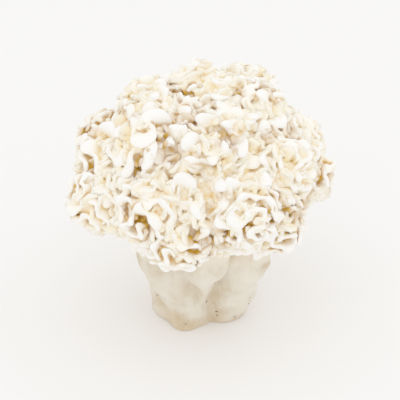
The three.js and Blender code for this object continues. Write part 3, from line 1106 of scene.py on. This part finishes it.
def stemRadius(turn, height):
    random = np.random.RandomState(stem["seed"])
    foot, throat = stem["footRadius"], stem["throatRadius"]
    radius = foot + (throat - foot) * smoothstep(height, -4, 40)
    radius = radius + (stem["topRadius"] - throat) * smoothstep(height, 34, stem["height"])
    oval = 0.07 * np.cos(2 * turn + 0.6 + height / 26)
    radius = radius * (1 + oval + 0.05 * np.cos(3 * turn + 1.9 + height / 18))
    folds = np.cos(5 * turn + 0.8 * np.sin(2 * turn))
    radius = radius * (1 + stem["footRagged"] * smoothstep(height, 16, -2) * folds)
    count = stem["creases"]
    for i in range(count):
        place = 2 * math.pi * (i + random.uniform(-0.28, 0.28)) / count
        place = place + 0.16 * np.sin(height / 8 + i * 2.3)
        start = random.uniform(-26, 12)
        apart = (turn - place + math.pi) % (2 * math.pi) - math.pi
        depth = stem["creaseDepth"] * random.uniform(0.5, 1) * smoothstep(height, start, start + 42)
        radius = radius - depth * np.exp(-(apart * radius / stem["creaseWidth"]) ** 2)
    for _ in range(stem["knobs"]):
        place, level = random.uniform(0, 2 * math.pi), random.uniform(4, 31)
        size, stand = random.uniform(1.8, 4.5), random.uniform(0.6, 2.4)
        apart = ((turn - place + math.pi) % (2 * math.pi) - math.pi) * radius
        radius = radius + stand * np.exp(-(apart / size) ** 2 - ((height - level) / (size * 1.3)) ** 2)
    lift = np.clip(height / stem["cutEdge"], 0, 1)
    return radius - stem["cutEdge"] * (1 - np.sqrt(1 - (1 - lift) ** 2))


def stemMesh():
    around, cutRows = stem["around"], stem["cutRows"]
    turn = np.linspace(0, 2 * math.pi, around, endpoint=False)[None, :]
    low = np.array([0, 0.12, 0.35, 0.7])
    height = np.concatenate([low, np.linspace(1.1, stem["height"], stem["rows"] - len(low))])[:, None]
    radius = stemRadius(turn, height)
    lean = stem["lean"] * height / stem["height"]
    rings = np.stack([radius * np.cos(turn) + lean, radius * np.sin(turn), height + 0 * turn], axis=2)
    cut = [rings[0] * [share, share, 1] for share in np.linspace(0.06, 0.94, cutRows)]
    ends = [[[0, 0, 0]], [[stem["lean"], 0, stem["height"] + 1]]]
    points = np.concatenate(cut + [rings.reshape(-1, 3)] + ends)
    rows = cutRows + len(height)
    index = np.arange(rows * around).reshape(rows, around)
    ahead = np.roll(index, -1, axis=1)
    quads = np.stack([index[:-1], ahead[:-1], ahead[1:], index[1:]], axis=-1).reshape(-1, 4).tolist()
    bottom, top = rows * around, rows * around + 1
    caps = [[bottom, int(ahead[0, k]), int(index[0, k])] for k in range(around)]
    caps += [[top, int(index[-1, k]), int(ahead[-1, k])] for k in range(around)]
    mesh = meshOf("stem", points, quads + caps)
    # the bake map unrolls it, with a wedge for each triangle of the two caps
    upwards = distances(points[:bottom:around])
    v = 0.02 + 0.96 * upwards / upwards[-1]
    k, row = np.meshgrid(np.arange(around), np.arange(rows - 1))
    places = [np.stack([(k + right) / around, v[row + up]], axis=-1)
              for right, up in ((0, 0), (1, 0), (1, 1), (0, 1))]
    k = np.arange(around)
    wedges = [np.stack([(k + right) / around, 0 * k + up], axis=1)
              for right, up in ((0.5, 0), (1, v[0]), (0, v[0]), (0.5, 1), (0, v[-1]), (1, v[-1]))]
    setBakeMap(mesh, np.concatenate([np.stack(places, axis=2).reshape(-1, 2),
                                     np.stack(wedges[:3], axis=1).reshape(-1, 2),
                                     np.stack(wedges[3:], axis=1).reshape(-1, 2)]))
    facesOutward(mesh)
    isCut = np.zeros(len(points))
    isCut[:cutRows * around] = 1
    isCut[bottom] = 1
    keepOnPoints(mesh, "cut", isCut)
    return mesh


def stemTree():
    tree, add, given = newTree("stem relief", {
        "Wrinkle size": stem["wrinkleSize"], "Wrinkle height": stem["wrinkleHeight"],
        "Swell size": stem["swellSize"], "Swell height": stem["swellHeight"]})
    place = add("GeometryNodeInputPosition", {})
    lengthened = add("ShaderNodeVectorMath", {"operation": "MULTIPLY", 0: place, 1: stem["wrinkleStretch"]})
    wrinkles = unevenness(add, given["Wrinkle size"], given["Wrinkle height"],
                          {"Detail": 3.0, "Vector": lengthened})
    swells = unevenness(add, given["Swell size"], given["Swell height"], {"Detail": 1.0})
    both = add("ShaderNodeMath", {"operation": "ADD", 0: wrinkles, 1: swells})
    level = add("ShaderNodeSeparateXYZ", {0: place})
    above = add("ShaderNodeMapRange", {
        "interpolation_type": "SMOOTHSTEP", "From Max": stem["flatFoot"], "Value": level.outputs["Z"]})
    faded = add("ShaderNodeMath", {"operation": "MULTIPLY", 0: both, 1: above})
    kept = add("GeometryNodeStoreNamedAttribute", {
        "Name": "relief", "Geometry": given["Geometry"], "Value": both})
    finishTree(add, moveOut(add, kept, faded), given["Material"])
    return tree


stemPiece = applyTree("stem", stemMesh(), stemTree(), {"Material": stemMaterial})
pieces.append(stemPiece)
print("stem", len(stemPiece.data.polygons), "faces")

crumb = {
    "length": 0.9,            # mm
    "uneven": (0.75, 1.15),   # from its hollows to its corners
    "width": 0.6,             # of that length
    "thickness": 0.45,
    "smallest": 0.4,          # of that length
    "largest": 1.2,
    "spacing": 0.0013,        # m
    "patchSize": 6.5,         # mm, of the patches that the soil sticks to
    "lowest": 1,              # mm up the stem
    "highest": 13,
    "seed": 3,
}


def crumbGround():
    # the stem's surface with depth 0 in the patches that the soil sticks to, and 99 elsewhere
    mesh = stemPiece.data.copy()
    points = np.array([vertex.co[:] for vertex in mesh.vertices]) / mm
    waves = [np.sin(points @ way * 6.3 / crumb["patchSize"]) for way in ([0.7, 0.5, 0.4], [-0.5, 0.8, 0.6])]
    height = points[:, 2]
    chosen = (height > crumb["lowest"]) & (height < crumb["highest"]) & (waves[0] + waves[1] > 1.1)
    keepOnPoints(mesh, "depth", np.where(chosen, 0, 99))
    return mesh


def crumbMesh(number):
    random = np.random.RandomState(crumb["seed"] + number)
    builder = bmesh.new()
    bmesh.ops.create_icosphere(builder, subdivisions=2, radius=crumb["length"] / 2 * mm)
    for vertex in builder.verts:
        vertex.co = vertex.co * random.uniform(*crumb["uneven"])
        vertex.co.y *= crumb["width"]
        vertex.co.z *= crumb["thickness"]
    mesh = bpy.data.meshes.new("crumb")
    builder.to_mesh(mesh)
    builder.free()
    points = np.array([vertex.co[:] for vertex in mesh.vertices]) / (crumb["length"] * mm)
    setBakeMap(mesh, (points[:, :2] * 0.8 + 0.5)[cornerPoints(mesh)])
    return mesh


crumbShapes = [crumbMesh(number) for number in range(3)]
pieces.append(scattered("soil_crumbs", crumbGround(), crumbShapes, soilMaterial,
                        {"Spacing": crumb["spacing"], "Smallest": crumb["smallest"],
                         "Largest": crumb["largest"], "Seed": crumb["seed"]}))


studio = {
    "azimuth": -38.5,
    "elevation": 31.5,
    "distance": 0.72,         # m, from the camera to its target
    "target": (0, 0, 0.041),
    "lens": 205,
    "floorColour": "#F4F3F1",
    "worldLight": 1.3,
    # place, size in m, power in W
    "lamps": {"key": ((-0.25, -0.15, 0.75), 0.5, 0.55), "fill": ((0.6, -0.5, 0.45), 0.6, 0.25)},
    "lampTarget": (0, 0, 0.04),
    "lightBounces": 12,       # light comes back out of folds in such pale flesh
    "exposure": -0.47,
    "gamma": 1.9,             # a soft, high-key print
}


def aim(holder, place, target):
    holder.location = place
    holder.rotation_mode = "QUATERNION"
    holder.rotation_quaternion = (Vector(target) - Vector(place)).to_track_quat("-Z", "Y")


def buildStudio():
    scene = bpy.context.scene
    corners = np.array([(-4000, -4000, 0), (4000, -4000, 0), (4000, 4000, 0), (-4000, 4000, 0)])
    floor = addObject("floor", meshOf("floor", corners, [(0, 1, 2, 3)]))
    paper, add = newMaterial("paleStudioPaper")
    matt = add("ShaderNodeBsdfPrincipled", {"Base Color": linear(studio["floorColour"]), "Roughness": 0.9})
    add("ShaderNodeOutputMaterial", {"Surface": matt})
    floor.data.materials.append(paper)
    scene.world = bpy.data.worlds.new("studio")
    scene.world.use_nodes = True
    background = scene.world.node_tree.nodes["Background"].inputs
    background["Color"].default_value = linear("#FFFFFF")
    background["Strength"].default_value = studio["worldLight"]
    for name, (place, size, power) in studio["lamps"].items():
        light = bpy.data.lights.new(name, "AREA")
        light.size = size
        light.energy = power
        aim(addObject(name, light), place, studio["lampTarget"])
    camera = bpy.data.cameras.new("camera")
    camera.lens = studio["lens"]
    camera.clip_start = 0.01
    scene.camera = addObject("camera", camera)
    a, e = math.radians(studio["azimuth"]), math.radians(studio["elevation"])
    back = Vector((math.sin(a) * math.cos(e), -math.cos(a) * math.cos(e), math.sin(e)))
    aim(scene.camera, Vector(studio["target"]) + back * studio["distance"], studio["target"])
    scene.cycles.diffuse_bounces = studio["lightBounces"]
    scene.view_settings.view_transform = "Standard"
    scene.view_settings.exposure = studio["exposure"]
    scene.view_settings.gamma = studio["gamma"]


buildStudio()
for piece in pieces:
    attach(piece, "root")
    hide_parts(nodeName)
